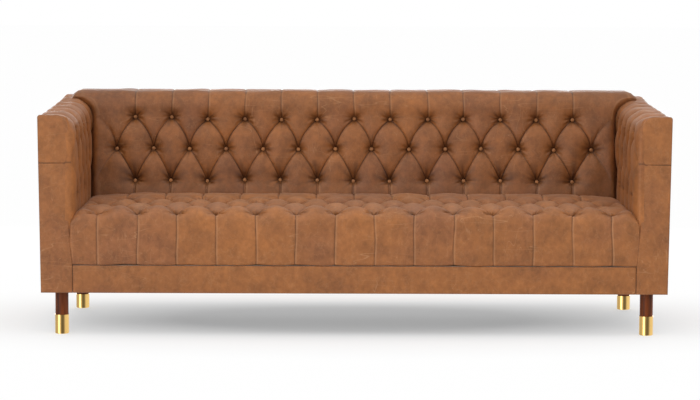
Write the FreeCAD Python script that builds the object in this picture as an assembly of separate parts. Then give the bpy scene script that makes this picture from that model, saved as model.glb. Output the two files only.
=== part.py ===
import FreeCAD, Part
import math
import os

from FreeCAD import Vector

# A long tufted sofa whose arms are as high as its back, on four capped legs.
# Millimetres. X runs along the sofa, Y from front to back, Z up.
# The origin is on the floor, under the middle of the sofa.

# Overall sizes
sofa_width = 2286.0
sofa_depth = 920.0
back_height = 846.0
arm_front_drop = 46.0
arm_rear_drop = 18.0
underside_height = 156.0
rail_cover_height = 101.0
seat_crest_height = 472.0
seat_rear_crest_height = 464.0

# Arms: the outside face leans in towards the floor
arm_width = 140.0
arm_foot_width = 124.0
arm_lean = 9.0
arm_shoulder_width = 71.0
arm_shoulder_drop = 84.0
arm_corner_radius = 16.0

# Inside back: a leaning face with a rounded crown
back_face_depth = 630.0
back_face_height = 440.0
back_rake = math.tan(math.radians(10.6))
back_crown_width = 62.0
back_crown_drop = 85.0
back_corner_radius = 20.0

# Covers and pads
cover_thickness = 5.0
facing_cover_thickness = 6.0
facing_seam_drop = 3.0
facing_board_inset = 1.0
soft_gap = 0.3
back_pad_thickness = 78.0
arm_pad_thickness = 70.0

# Tufting
button_radius = 8.0
button_height = 6.0
tuft_seat = 9.0
pleat_half_width = 3.0
tuft_row_shares = [0.1178, 0.4346, 0.733]
back_tuft_spacing = 140.3
back_tuft_depth = 40.0
arm_tuft_spacing = 140.0
arm_first_tuft = 26.0
arm_tuft_depth = 36.0
seat_tuft_spacing = 143.0
seat_row_spacing = 140.0
seat_first_row = 57.0
seat_tuft_depth = 30.0
crown_pleat_depth = 9.0
front_pleat_depth = 7.0
back_end_tuft_depth = 20.0
arm_end_tuft_depth = 12.0
seat_end_tuft_depth = 10.0
arm_tuft_fade = 35.0
edge_margin = 60.0
seat_shoulder = 52.0
seat_nose_radius = 46.0
seat_nose_set_back = 6.0
seat_rear_radius = 23.0

# Rise of an arc over its chord, for a rounded shoulder of about a quarter turn
shoulder_rise = 0.19
# Rise of a half pillow between a tuft and an edge, as a share of the tuft's depth
half_pillow_rise = 0.2
# The seat's roll down beside an arm: how far round it turns, and where its sections stand
side_roll = 0.98
side_roll_steps = [0.35, 0.7, 0.9, 1.0]

# Timber frame
board_thickness = 28.0
post_depth = 45.0
liner_thickness = 5.0
facing_board_thickness = 9.0
rail_lift = 2.0
top_rail_height = 28.0
arm_crown_padding = 30.0
back_crown_padding = 56.0
rib_thickness = 18.0
rib_count = 7
stretcher_drop = 24.0
stretcher_offset = 340.0
stay_position = 0.0
block_length = 110.0
block_height = 40.0
tie_hole_radius = 4.0

# Seat suspension
deck_thickness = 2.0
wire_radius = 1.7
clip_wall = 1.2
clip_length = 22.0
clip_foot = 14.0
spring_count = 12
spring_pitch = 28.0
spring_width = 52.0

# Legs and their fixings
leg_radius = 23.8
front_leg_inset = 79.0
rear_leg_inset = 92.0
front_leg_depth = 66.0
rear_leg_depth = 742.0
ferrule_wall = 1.5
ferrule_floor = 2.0
ferrule_edge = 3.0
front_ferrule_height = 70.0
rear_ferrule_height = 54.0
fit_clearance = 0.05
plate_size = 56.0
plate_thickness = 3.0
plate_screw_offset = 20.0
bolt_radius = 4.0
bolt_in_leg = 36.0
bolt_in_block = 20.0
bolt_clearance = 1.5
screw_radius = 2.0
screw_length = 25.0
screw_head_radius = 3.6
screw_head_height = 1.6
block_screw_radius = 2.5
block_screw_height = 28.0
block_screw_reach = 20.0
block_screw_spacing = 60.0
dust_cover_thickness = 1.0
dust_cover_margin = 12.0

# Heights that follow the back: the arms' crowns, the rows of tufts and the facings' seam
arm_front_height = back_height - arm_front_drop
arm_rear_height = back_height - arm_rear_drop
tufted_height = back_height - seat_rear_crest_height
tuft_rows = [seat_rear_crest_height + share * tufted_height for share in tuft_row_shares]
facing_seam_height = tuft_rows[1] - facing_seam_drop

# Planes that several pieces share
half_width = sofa_width / 2
front_y = -sofa_depth / 2
rear_y = sofa_depth / 2
frame_base = underside_height + rail_lift
seat_base = underside_height + rail_cover_height
clip_radius = wire_radius + soft_gap + clip_wall
wire_height = seat_base - deck_thickness - soft_gap - clip_radius
rail_top = wire_height - clip_radius
board_front_y = front_y + facing_cover_thickness
post_front_y = board_front_y + facing_board_thickness
frame_rear_y = rear_y - cover_thickness
arm_crest_x = half_width - arm_width
seat_side_x = half_width - arm_foot_width
arm_liner_x = arm_crest_x + arm_pad_thickness
frame_inner_x = arm_liner_x + liner_thickness
arm_rail_top = arm_front_height - arm_crown_padding
back_rail_top = back_height - back_crown_padding
pad_front_y = post_front_y + soft_gap


def outer_x(z):
    """Half the sofa's width at a height, at the outside of the arm's cover."""
    below = max(0.0, arm_front_height - z)
    return half_width - arm_lean * below / (arm_front_height - underside_height)


def frame_outer_x(z):
    return outer_x(z) - cover_thickness


def back_face_y(z):
    """Crest of the inside back's padding at a height."""
    return front_y + back_face_depth + (z - back_face_height) * back_rake


def back_liner_y(z):
    return back_face_y(z) + back_pad_thickness


seat_rail_rear_y = back_liner_y(rail_top) + liner_thickness
seat_rail_front_y = seat_rail_rear_y - board_thickness
front_rail_rear_y = post_front_y + board_thickness


def box(x0, x1, y0, y1, z0, z1):
    return Part.makeBox(x1 - x0, y1 - y0, z1 - z0, Vector(x0, y0, z0))


def rod(radius, start, end):
    along = end - start
    return Part.makeCylinder(radius, along.Length, start, along)


def prism(points, sweep):
    """A closed outline of straight edges, swept along a vector."""
    return Part.Face(Part.makePolygon(points + points[:1])).extrude(sweep)


def to_left(shape):
    return shape.mirror(Vector(0, 0, 0), Vector(1, 0, 0))


def group(shapes):
    return Part.makeCompound(shapes)


def save(node, shape):
    shape.exportStep("parts/" + node + ".step")


def save_pair(name, right_shape):
    save("right_" + name, right_shape)
    save("left_" + name, to_left(right_shape))


# Tufted pads: each is a ruled loft through sections of lines and shallow arcs.
# A section passes over the pillows and dips into the pleats between buttons.
def tuft_marks(rows, first_buttoned):
    """Ends of the flats in a section: where pleats cross it, or meet at a button."""
    marks = []
    for index in range(first_buttoned, len(rows), 2):
        row = rows[index]
        marks.append(row - tuft_seat)
        if 0 < index < len(rows) - 1:
            marks += [row - pleat_half_width, row + pleat_half_width]
        marks.append(row + tuft_seat)
    return marks


def bowed(start, end, rise, side):
    """Middle point of an arc that stands off its chord towards one side."""
    return (start + end) * 0.5 + side * rise


def tuft_edges(points, side, depth, full_span):
    """Flats and arched pillows between the first mark of a section and its last."""
    edges = []
    for index, (start, end) in enumerate(zip(points, points[1:])):
        if index % 2 == 0:
            edges.append(Part.LineSegment(start, end).toShape())
        else:
            rise = depth * ((end - start).Length / full_span) ** 2
            edges.append(Part.Arc(start, bowed(start, end, rise, side), end).toShape())
    return edges


def line_edges(points):
    return [Part.LineSegment(a, b).toShape() for a, b in zip(points, points[1:])]


def arc_edge(start, end, rise, side):
    return Part.Arc(start, bowed(start, end, rise, side), end).toShape()


def shoulder_edge(start, end, side):
    """A rounded shoulder of about a quarter turn."""
    return arc_edge(start, end, shoulder_rise * (end - start).Length, side)


def ruled_solid(sections):
    return Part.makeLoft([Part.Wire(edges) for edges in sections], True, True)


def half_columns(reach, spacing):
    """Half-spacing steps from the middle that stay clear of a pad's ends."""
    last = int((reach - edge_margin) / (spacing / 2))
    return list(range(-last, last + 1))


# Inside back
pillow_span = tuft_rows[-1] - tuft_rows[0] - 2 * tuft_seat


def back_section(x, first_buttoned, tuft_depth, pleat):
    forward = Vector(0, -1, 0)
    up_forward = Vector(0, -1, 1).normalize()
    seat_line = seat_rear_crest_height
    shoulder_z = back_height - back_crown_drop + crown_pleat_depth

    def face(z, depth):
        return Vector(x, back_face_y(z) + depth, z)

    marks = [face(z, tuft_depth) for z in tuft_marks(tuft_rows, first_buttoned)]
    bottom = face(seat_base + soft_gap, 0)
    above_seat = face(seat_line, pleat / 2)
    shoulder = face(max(shoulder_z, tuft_rows[-1] + 2 * tuft_seat), pleat)
    crown = Vector(x, back_face_y(back_height) + back_crown_width, back_height - pleat)
    rear_top = Vector(x, rear_y - back_corner_radius, back_height - pleat / 2)
    rear_side = Vector(x, rear_y, rear_top.z - back_corner_radius)
    rear_low = Vector(x, rear_y, back_rail_top + soft_gap)
    under_crown = Vector(x, back_liner_y(rear_low.z) - soft_gap, rear_low.z)
    low_rear = Vector(x, back_liner_y(bottom.z) - soft_gap, bottom.z)
    edges = line_edges([low_rear, bottom, above_seat])
    edges.append(arc_edge(above_seat, marks[0], tuft_depth * half_pillow_rise, forward))
    edges += tuft_edges(marks, forward, tuft_depth, pillow_span)
    edges.append(arc_edge(marks[-1], shoulder, (tuft_depth - pleat) * half_pillow_rise, forward))
    edges.append(shoulder_edge(shoulder, crown, up_forward))
    edges += line_edges([crown, rear_top])
    edges.append(shoulder_edge(rear_top, rear_side, Vector(0, 1, 1).normalize()))
    edges += line_edges([rear_side, rear_low, under_crown, low_rear])
    return edges


def back_columns():
    return half_columns(arm_crest_x, back_tuft_spacing)


def back_pad():
    end_x = arm_crest_x - soft_gap
    sections = [back_section(-end_x, 0, back_end_tuft_depth, 0)]
    for step in back_columns():
        x = step * back_tuft_spacing / 2
        top_buttoned = step % 2 == 0
        for edge_x in (x - tuft_seat, x + tuft_seat):
            pleat = crown_pleat_depth if top_buttoned else 0
            sections.append(back_section(edge_x, 0 if top_buttoned else 1, back_tuft_depth, pleat))
    sections.append(back_section(end_x, 0, back_end_tuft_depth, 0))
    return ruled_solid(sections)


def back_button_places():
    places = []
    for step in back_columns():
        for index in range(0 if step % 2 == 0 else 1, len(tuft_rows), 2):
            z = tuft_rows[index]
            places.append(Vector(step * back_tuft_spacing / 2, back_face_y(z) + back_tuft_depth, z))
    return places


# Inside arms, drawn for the right arm
def arm_crown_height(y):
    """The arm's crown rises towards the back."""
    share = (y - front_y) / sofa_depth
    return arm_front_height + (arm_rear_height - arm_front_height) * share


def arm_section(y, first_buttoned, tuft_depth, pleat, draw_in, corner_rise=0):
    """Where the arm turns into the back, its inner edge rises by corner_rise."""
    inward = Vector(-1, 0, 0)
    up_inward = Vector(-1, 0, 1).normalize()
    top = arm_crown_height(y) - draw_in
    crest_x = arm_crest_x + draw_in
    marks = [Vector(crest_x + tuft_depth, y, z) for z in tuft_marks(tuft_rows, first_buttoned)]
    bottom = Vector(seat_side_x, y, seat_base + soft_gap)
    above_seat = Vector(seat_side_x, y, seat_rear_crest_height - seat_shoulder / 2)
    shoulder_z = tuft_rows[-1] + 2 * tuft_seat
    shoulder_width = arm_shoulder_width
    if corner_rise:
        shoulder_z = top + corner_rise - back_corner_radius
        shoulder_width = back_corner_radius
    shoulder = Vector(crest_x + pleat + draw_in / 2, y, shoulder_z)
    crown = Vector(crest_x + shoulder_width, y, top + corner_rise - pleat)
    outer_top = Vector(outer_x(top) - arm_corner_radius, y, top - pleat / 2)
    outer_side_z = outer_top.z - arm_corner_radius
    outer_side = Vector(outer_x(outer_side_z), y, outer_side_z)
    outer_low_z = arm_rail_top + soft_gap
    outer_low = Vector(outer_x(outer_low_z), y, outer_low_z)
    under_crown = Vector(arm_liner_x - soft_gap, y, outer_low_z)
    low_outer = Vector(arm_liner_x - soft_gap, y, bottom.z)
    edges = line_edges([low_outer, bottom, above_seat])
    edges.append(arc_edge(above_seat, marks[0], tuft_depth * half_pillow_rise, inward))
    edges += tuft_edges(marks, inward, tuft_depth, pillow_span)
    edges.append(arc_edge(marks[-1], shoulder, (tuft_depth - pleat) * half_pillow_rise, inward))
    edges.append(shoulder_edge(shoulder, crown, up_inward))
    edges += line_edges([crown, outer_top])
    edges.append(shoulder_edge(outer_top, outer_side, Vector(1, 0, 1).normalize()))
    edges += line_edges([outer_side, outer_low, under_crown, low_outer])
    return edges


def arm_column_places():
    """Depths of the arm's tuft columns, up to the inside back."""
    places = []
    y = front_y + arm_first_tuft
    while y + tuft_seat < back_face_y(tuft_rows[-1]) - pleat_half_width:
        places.append(y)
        y += arm_tuft_spacing / 2
    return places


def back_frame_space(margin):
    """Room behind the inside back's liner, and behind the outside arm's end."""
    low = rail_top
    high = back_rail_top + margin
    wedge = prism([Vector(arm_crest_x - arm_width, back_liner_y(low) - margin, low),
                   Vector(arm_crest_x - arm_width, back_liner_y(high) - margin, high),
                   Vector(arm_crest_x - arm_width, rear_y + margin, high),
                   Vector(arm_crest_x - arm_width, rear_y + margin, low)],
                  Vector(arm_width + arm_pad_thickness, 0, 0))
    strip = box(arm_crest_x, half_width + margin, frame_rear_y - margin, rear_y + margin, low, high)
    return wedge, strip


def arm_pad():
    sections = [arm_section(pad_front_y, 1, arm_end_tuft_depth, 0, soft_gap)]
    for number, y in enumerate(arm_column_places()):
        middle_buttoned = number % 2 == 0
        pleat = 0 if middle_buttoned else crown_pleat_depth
        for edge_y in (y - tuft_seat, y + tuft_seat):
            if edge_y > pad_front_y + soft_gap:
                sections.append(arm_section(edge_y, 1 if middle_buttoned else 0,
                                            arm_tuft_depth, pleat, 0))
    sections.append(arm_section(sections_end_y(), 1, arm_end_tuft_depth, 0, 0))
    corner_y = back_face_y(back_height) + back_crown_width
    for y, drop in ((corner_y, 0), (rear_y - back_corner_radius, 0), (rear_y, back_corner_radius)):
        rise = back_height - arm_crown_height(y)
        sections.append(arm_section(y, 1, arm_end_tuft_depth, 0, drop / 2, rise - drop / 2))
    pad = ruled_solid(sections)
    for space in back_frame_space(soft_gap):
        pad = pad.cut(space)
    return pad


def sections_end_y():
    """Where the arm's tufting has died out, behind the inside back's face."""
    return back_face_y(tuft_rows[-1]) + arm_tuft_fade


def arm_button_places():
    places = []
    for number, y in enumerate(arm_column_places()):
        for index in range(1 if number % 2 == 0 else 0, len(tuft_rows), 2):
            z = tuft_rows[index]
            if y + button_radius < back_face_y(z):
                places.append(Vector(arm_crest_x + arm_tuft_depth, y, z))
    return places


# Seat
def seat_rows():
    rear_limit = back_face_y(seat_rear_crest_height) - edge_margin
    rows = []
    y = front_y + seat_first_row
    while y < rear_limit:
        rows.append(y)
        y += seat_row_spacing
    return rows


def seat_crest(y):
    """Height of the pillows' tops: the seat slopes down a little to the rear."""
    span = back_face_y(seat_rear_crest_height) - front_y
    return seat_crest_height + (seat_rear_crest_height - seat_crest_height) * (y - front_y) / span


def seat_side_fall(x):
    """Drop of the seat's surface where it rolls down beside an arm."""
    inside = max(0.0, abs(x) - (seat_side_x - seat_shoulder))
    inside = min(inside, seat_shoulder)
    return seat_shoulder - math.sqrt(seat_shoulder ** 2 - (inside * side_roll) ** 2)


def seat_section(x, first_buttoned, tuft_depth, pleat):
    up = Vector(0, 0, 1)
    fall = seat_side_fall(x)
    rows = seat_rows()
    full_span = rows[2] - rows[0] - 2 * tuft_seat
    marks = [Vector(x, y, seat_crest(y) - tuft_depth - fall) for y in tuft_marks(rows, first_buttoned)]
    base = seat_base + soft_gap
    rear_low = Vector(x, back_face_y(base) - soft_gap, base)
    front_low = Vector(x, front_y + seat_nose_set_back, base)
    nose_z = seat_crest_height - fall - seat_nose_radius - pleat / 2
    nose = Vector(x, front_y + pleat, nose_z)
    nose_top = Vector(x, front_y + seat_nose_radius - tuft_seat, seat_crest(front_y) - fall - pleat)
    rear_z = seat_rear_crest_height - fall - pleat - seat_rear_radius
    rear_shoulder = Vector(x, back_face_y(rear_z) - soft_gap, rear_z)
    edges = line_edges([rear_low, front_low])
    edges.append(arc_edge(front_low, nose, seat_nose_set_back / 4, Vector(0, -1, 0)))
    edges.append(shoulder_edge(nose, nose_top, Vector(0, -1, 1).normalize()))
    edges.append(arc_edge(nose_top, marks[0], (tuft_depth - pleat) * half_pillow_rise, up))
    edges += tuft_edges(marks, up, tuft_depth, full_span)
    edges.append(arc_edge(marks[-1], rear_shoulder, (tuft_depth - pleat) * half_pillow_rise, up))
    edges += line_edges([rear_shoulder, rear_low])
    return edges


def seat_pad():
    end_x = seat_side_x - soft_gap
    sections = []
    columns = half_columns(seat_side_x, seat_tuft_spacing)
    front_parity = columns[-1] % 2
    for step in columns:
        x = step * seat_tuft_spacing / 2
        front_buttoned = step % 2 == front_parity
        for edge_x in (x - tuft_seat, x + tuft_seat):
            pleat = front_pleat_depth if front_buttoned else 0
            sections.append(seat_section(edge_x, 0 if front_buttoned else 1, seat_tuft_depth, pleat))
    last_x = columns[-1] * seat_tuft_spacing / 2 + tuft_seat
    roll = [last_x + (end_x - last_x) * share for share in side_roll_steps]
    for x in roll:
        sections.insert(0, seat_section(-x, 1, seat_end_tuft_depth, 0))
        sections.append(seat_section(x, 1, seat_end_tuft_depth, 0))
    return ruled_solid(sections)


# Buttons
def button(place, outward):
    """A covered button with a flat back, a short rim and a domed face."""
    rim = button_height / 3
    dome = button_height - rim
    sphere_radius = (button_radius ** 2 + dome ** 2) / (2 * dome)
    body = Part.makeCylinder(button_radius, button_height, Vector(0, 0, 0), Vector(0, 0, 1))
    ball = Part.makeSphere(sphere_radius, Vector(0, 0, button_height - sphere_radius))
    shape = body.common(ball)
    turn = FreeCAD.Rotation(Vector(0, 0, 1), outward)
    shape.Placement = FreeCAD.Placement(place + outward * soft_gap, turn)
    return shape


def back_buttons():
    lean = Vector(0, -1, back_rake).normalize()
    return group([button(place, lean) for place in back_button_places()])


def arm_buttons():
    return group([button(place, Vector(-1, 0, 0)) for place in arm_button_places()])


# Outer covers
def side_outline(y, low, high, outer, inner):
    """A slanted strip of the arm's outside, between two heights."""
    return [Vector(outer(low), y, low), Vector(outer(high), y, high),
            Vector(inner(high), y, high), Vector(inner(low), y, low)]


def outside_arm_panel():
    outline = side_outline(board_front_y, underside_height, arm_rail_top, outer_x, frame_outer_x)
    return prism(outline, Vector(0, frame_rear_y - board_front_y, 0))


def outside_back_panel():
    outline = []
    for sign in (1, -1):
        corners = [Vector(sign * outer_x(z), frame_rear_y, z) for z in (underside_height, back_rail_top)]
        outline += corners if sign > 0 else corners[::-1]
    return prism(outline, Vector(0, cover_thickness, 0))


def upper_arm_outline(y, low, inset):
    """The arm's rounded top as seen from the front, above a level."""
    inner_x = seat_side_x + inset
    crest = Vector(arm_crest_x + inset, y, arm_front_height - arm_shoulder_drop)
    crown = Vector(arm_crest_x + arm_shoulder_width, y, arm_front_height - inset)
    corner_z = arm_front_height - arm_corner_radius
    outer_top = Vector(outer_x(arm_front_height) - arm_corner_radius, y, crown.z)
    outer_side = Vector(outer_x(corner_z) - inset, y, corner_z)
    foot_in = Vector(inner_x, y, low)
    foot_out = Vector(outer_x(low) - inset, y, low)
    edges = line_edges([foot_out, foot_in, crest])
    edges.append(shoulder_edge(crest, crown, Vector(-1, 0, 1).normalize()))
    edges += line_edges([crown, outer_top])
    edges.append(shoulder_edge(outer_top, outer_side, Vector(1, 0, 1).normalize()))
    edges += line_edges([outer_side, foot_out])
    return Part.Face(Part.Wire(edges))


def upper_facing():
    return upper_arm_outline(front_y, facing_seam_height, 0).extrude(Vector(0, facing_cover_thickness, 0))


def lower_facing():
    outline = side_outline(front_y, underside_height, facing_seam_height, outer_x,
                           lambda z: seat_side_x)
    return prism(outline, Vector(0, facing_cover_thickness, 0))


def front_rail_cover():
    end_x = seat_side_x - soft_gap
    return box(-end_x, end_x, front_y, board_front_y, underside_height, seat_base)


def front_rail_padding():
    end_x = seat_side_x - soft_gap
    return box(-end_x, end_x, board_front_y, post_front_y, frame_base, seat_base)


def dust_cover():
    reach_x = frame_outer_x(frame_base) - dust_cover_margin
    cover = box(-reach_x, reach_x, post_front_y + dust_cover_margin, frame_rear_y - dust_cover_margin,
                frame_base - dust_cover_thickness, frame_base)
    half = plate_size / 2 + soft_gap
    for place in leg_places().values():
        cover = cover.cut(box(place.x - half, place.x + half, place.y - half, place.y + half,
                              frame_base - 2 * dust_cover_thickness, frame_base + dust_cover_thickness))
    return cover


# Timber frame
def side_member(y0, y1, z0, z1):
    """A frame member of the arm, whose outer face follows the arm's lean."""
    outline = side_outline(y0, z0, z1, frame_outer_x, lambda z: frame_inner_x)
    return prism(outline, Vector(0, y1 - y0, 0))


def cross_rail(y0, y1):
    return box(-frame_inner_x, frame_inner_x, y0, y1, frame_base, rail_top)


def right_plate_screw_holes():
    """Pilot holes of the right legs' plate screws, which reach the arm's frame beside the blocks."""
    return group([rod(screw_radius + fit_clearance, start, end)
                  for place in leg_places().values() if place.x > 0
                  for start, end in plate_screw_lines(place)])


def front_post():
    post = side_member(post_front_y, post_front_y + post_depth, frame_base, arm_rail_top - top_rail_height)
    return post.cut(right_plate_screw_holes())


def rear_post():
    return side_member(frame_rear_y - post_depth, frame_rear_y, frame_base, arm_rail_top - top_rail_height)


def side_rail():
    rail = side_member(post_front_y + post_depth, frame_rear_y - post_depth, frame_base, rail_top)
    rail = rail.cut(right_plate_screw_holes())
    return rail.cut(group([rod(block_screw_radius + fit_clearance, a, b) for a, b in block_screw_lines(1)]))


def arm_stay():
    return side_member(stay_position - post_depth / 2, stay_position + post_depth / 2,
                       rail_top, arm_rail_top - top_rail_height)


def arm_top_rail():
    return side_member(post_front_y, frame_rear_y, arm_rail_top - top_rail_height, arm_rail_top)


def arm_board():
    board = box(arm_liner_x, frame_inner_x, post_front_y, frame_rear_y, rail_top, arm_rail_top)
    holes = [rod(tie_hole_radius, place, place + Vector(arm_width, 0, 0)) for place in arm_button_places()]
    return board.cut(group(holes))


def facing_board():
    upper = upper_arm_outline(board_front_y, facing_seam_height, facing_board_inset)
    upper = upper.extrude(Vector(0, facing_board_thickness, 0))
    outline = side_outline(board_front_y, frame_base, facing_seam_height,
                           lambda z: outer_x(z) - facing_board_inset,
                           lambda z: seat_side_x + facing_board_inset)
    board = upper.fuse(prism(outline, Vector(0, facing_board_thickness, 0)))
    strip = outside_arm_panel()
    return board.cut(strip).removeSplitter()


def back_top_rail():
    low = back_rail_top - top_rail_height
    front = [Vector(-arm_liner_x, back_liner_y(z) + liner_thickness, z) for z in (low, back_rail_top)]
    rear = [Vector(-arm_liner_x, frame_rear_y, z) for z in (back_rail_top, low)]
    return prism(front + rear, Vector(2 * arm_liner_x, 0, 0))


def back_board():
    end_x = arm_liner_x
    low = rail_top
    high = back_rail_top
    outline = [Vector(-end_x, back_liner_y(low), low), Vector(-end_x, back_liner_y(high), high),
               Vector(-end_x, back_liner_y(high) + liner_thickness, high),
               Vector(-end_x, back_liner_y(low) + liner_thickness, low)]
    board = prism(outline, Vector(2 * end_x, 0, 0))
    holes = [rod(tie_hole_radius, place, place + Vector(0, 2 * back_pad_thickness, 0))
             for place in back_button_places()]
    return board.cut(group(holes))


def back_ribs():
    base = frame_base + block_height
    high = back_rail_top - top_rail_height
    front = [(seat_rail_rear_y, base), (seat_rail_rear_y, rail_top),
             (back_liner_y(high) + liner_thickness, high)]
    rear = [(frame_rear_y, high), (frame_rear_y, rail_top),
            (frame_rear_y - board_thickness, rail_top), (frame_rear_y - board_thickness, base)]
    span = 2 * arm_liner_x - rib_thickness
    ribs = []
    for number in range(rib_count):
        x = -arm_liner_x + span * number / (rib_count - 1)
        ribs.append(prism([Vector(x, y, z) for y, z in front + rear], Vector(rib_thickness, 0, 0)))
    return group(ribs)


def seat_stretchers():
    return group([box(x - board_thickness / 2, x + board_thickness / 2, front_rail_rear_y,
                      seat_rail_front_y, frame_base, rail_top - stretcher_drop)
                  for x in (-stretcher_offset, stretcher_offset)])


# Legs, caps and fixings
def leg_places():
    ends = {"front": (front_leg_inset, front_leg_depth), "rear": (rear_leg_inset, rear_leg_depth)}
    return {side + "_" + end: Vector(sign * (half_width - inset), front_y + depth, 0)
            for side, sign in (("left", -1), ("right", 1))
            for end, (inset, depth) in ends.items()}


def block_start_y(place):
    """A corner block stands against the rail in front of its leg."""
    return front_rail_rear_y if place.y < 0 else seat_rail_rear_y


def block_screw_lines(sign):
    """Each corner block is screwed sideways into the arm's bottom rail, in two places."""
    lines = []
    for place in leg_places().values():
        if place.x * sign > 0:
            for step in (-0.5, 0.5):
                middle_y = block_start_y(place) + block_length / 2
                y = middle_y + step * block_screw_spacing
                z = frame_base + block_screw_height
                start = Vector(sign * (frame_inner_x - block_length), y, z)
                lines.append((start, Vector(sign * (frame_inner_x + block_screw_reach), y, z)))
    return lines


def corner_blocks():
    blocks = []
    for place in leg_places().values():
        sign = 1 if place.x > 0 else -1
        near, far = sorted((sign * (frame_inner_x - block_length), sign * frame_inner_x))
        start = block_start_y(place)
        block = box(near, far, start, start + block_length, frame_base, frame_base + block_height)
        tools = [rod(bolt_radius + bolt_clearance, Vector(place.x, place.y, frame_base),
                     Vector(place.x, place.y, frame_base + block_height))]
        tools += [rod(screw_radius + fit_clearance, a, b) for a, b in plate_screw_lines(place)]
        tools += [rod(block_screw_radius + fit_clearance, a, b) for a, b in block_screw_lines(sign)]
        blocks.append(block.cut(group(tools)))
    return group(blocks)


def block_screws():
    screws = []
    for sign in (-1, 1):
        for start, end in block_screw_lines(sign):
            outward = Vector(-sign, 0, 0)
            head = rod(2 * block_screw_radius, start, start + outward * block_screw_radius)
            screws.append(rod(block_screw_radius, start, end).fuse(head))
    return group(screws)


def plate_screw_lines(place):
    bottom = frame_base - plate_thickness
    lines = []
    for step_x in (-plate_screw_offset, plate_screw_offset):
        for step_y in (-plate_screw_offset, plate_screw_offset):
            start = Vector(place.x + step_x, place.y + step_y, bottom)
            lines.append((start, start + Vector(0, 0, screw_length)))
    return lines


def leg_plates():
    half = plate_size / 2
    bottom = frame_base - plate_thickness
    plates = []
    for place in leg_places().values():
        plate = box(place.x - half, place.x + half, place.y - half, place.y + half, bottom, frame_base)
        tools = [rod(bolt_radius + fit_clearance, Vector(place.x, place.y, bottom),
                     Vector(place.x, place.y, frame_base))]
        tools += [rod(screw_radius + fit_clearance, a, b) for a, b in plate_screw_lines(place)]
        plates.append(plate.cut(group(tools)))
    return group(plates)


def plate_screws():
    screws = []
    for place in leg_places().values():
        for start, end in plate_screw_lines(place):
            head = rod(screw_head_radius, start - Vector(0, 0, screw_head_height), start)
            screws.append(rod(screw_radius, start, end).fuse(head))
    return group(screws)


def hanger_bolts():
    joint_z = frame_base - plate_thickness
    return group([rod(bolt_radius, Vector(place.x, place.y, joint_z - bolt_in_leg + fit_clearance),
                      Vector(place.x, place.y, frame_base + bolt_in_block))
                  for place in leg_places().values()])


def leg(place):
    """A straight turned leg, bored for its bolt, with pockets for the plate's screw heads."""
    top = frame_base - plate_thickness
    foot = Vector(place.x, place.y, ferrule_floor)
    shape = rod(leg_radius, foot, Vector(place.x, place.y, top))
    shape = shape.cut(rod(bolt_radius + fit_clearance, Vector(place.x, place.y, top - bolt_in_leg),
                          Vector(place.x, place.y, top)))
    pocket = screw_head_radius + soft_gap
    down = Vector(0, 0, screw_head_height + soft_gap)
    return shape.cut(group([rod(pocket, start - down, start) for start, end in plate_screw_lines(place)]))


def ferrule(place, height):
    """A polished cup over the leg's foot, closed underneath."""
    outer = leg_radius + fit_clearance + ferrule_wall
    cup = Part.makeCylinder(outer, height, place)
    cup = cup.makeFillet(ferrule_edge, [edge for edge in cup.Edges if edge.BoundBox.ZMax < ferrule_floor / 2])
    bore = Part.makeCylinder(leg_radius + fit_clearance, height, place + Vector(0, 0, ferrule_floor))
    return cup.cut(bore)


# Seat suspension
def spring_places():
    pitch = 2 * frame_inner_x / spring_count
    return [-frame_inner_x + pitch * (number + 0.5) for number in range(spring_count)]


def spring_ends():
    inset = clip_foot / 2
    return front_rail_rear_y - inset, seat_rail_front_y + inset


def spring(x):
    """A flat serpentine of spring wire, hooked in a clip at each end."""
    start_y, end_y = spring_ends()
    turns = 2 * round((end_y - start_y) / spring_pitch / 2)
    pitch = (end_y - start_y) / turns
    half = spring_width / 2 - pitch / 2
    edges = []
    for number in range(turns + 1):
        side = 1 if number % 2 == 0 else -1
        y = start_y + number * pitch
        bar_start = Vector(x - side * half, y, wire_height)
        bar_end = Vector(x + side * half, y, wire_height)
        edges.append(Part.LineSegment(bar_start, bar_end).toShape())
        if number < turns:
            top = Vector(x + side * (half + pitch / 2), y + pitch / 2, wire_height)
            edges.append(Part.Arc(bar_end, top, bar_end + Vector(0, pitch, 0)).toShape())
    first = edges[0].valueAt(edges[0].FirstParameter)
    profile = Part.Wire(Part.makeCircle(wire_radius, first, Vector(1, 0, 0)))
    return Part.Wire(edges).makePipeShell([profile], True, False)


def seat_springs():
    return group([spring(x) for x in spring_places()])


def spring_clips():
    clips = []
    for x in spring_places():
        for y in spring_ends():
            start = Vector(x - clip_length / 2, y, wire_height)
            end = Vector(x + clip_length / 2, y, wire_height)
            foot = box(start.x, end.x, y - clip_foot / 2, y + clip_foot / 2,
                       wire_height - clip_radius, wire_height - clip_radius + clip_wall)
            barrel = rod(clip_radius, start, end).fuse(foot)
            clips.append(barrel.cut(rod(clip_radius - clip_wall, start, end)))
    return group(clips)


def seat_deck():
    reach_x = arm_liner_x - soft_gap
    top = seat_base
    return box(-reach_x, reach_x, post_front_y, back_liner_y(top - deck_thickness) - soft_gap,
               top - deck_thickness, top)


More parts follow.
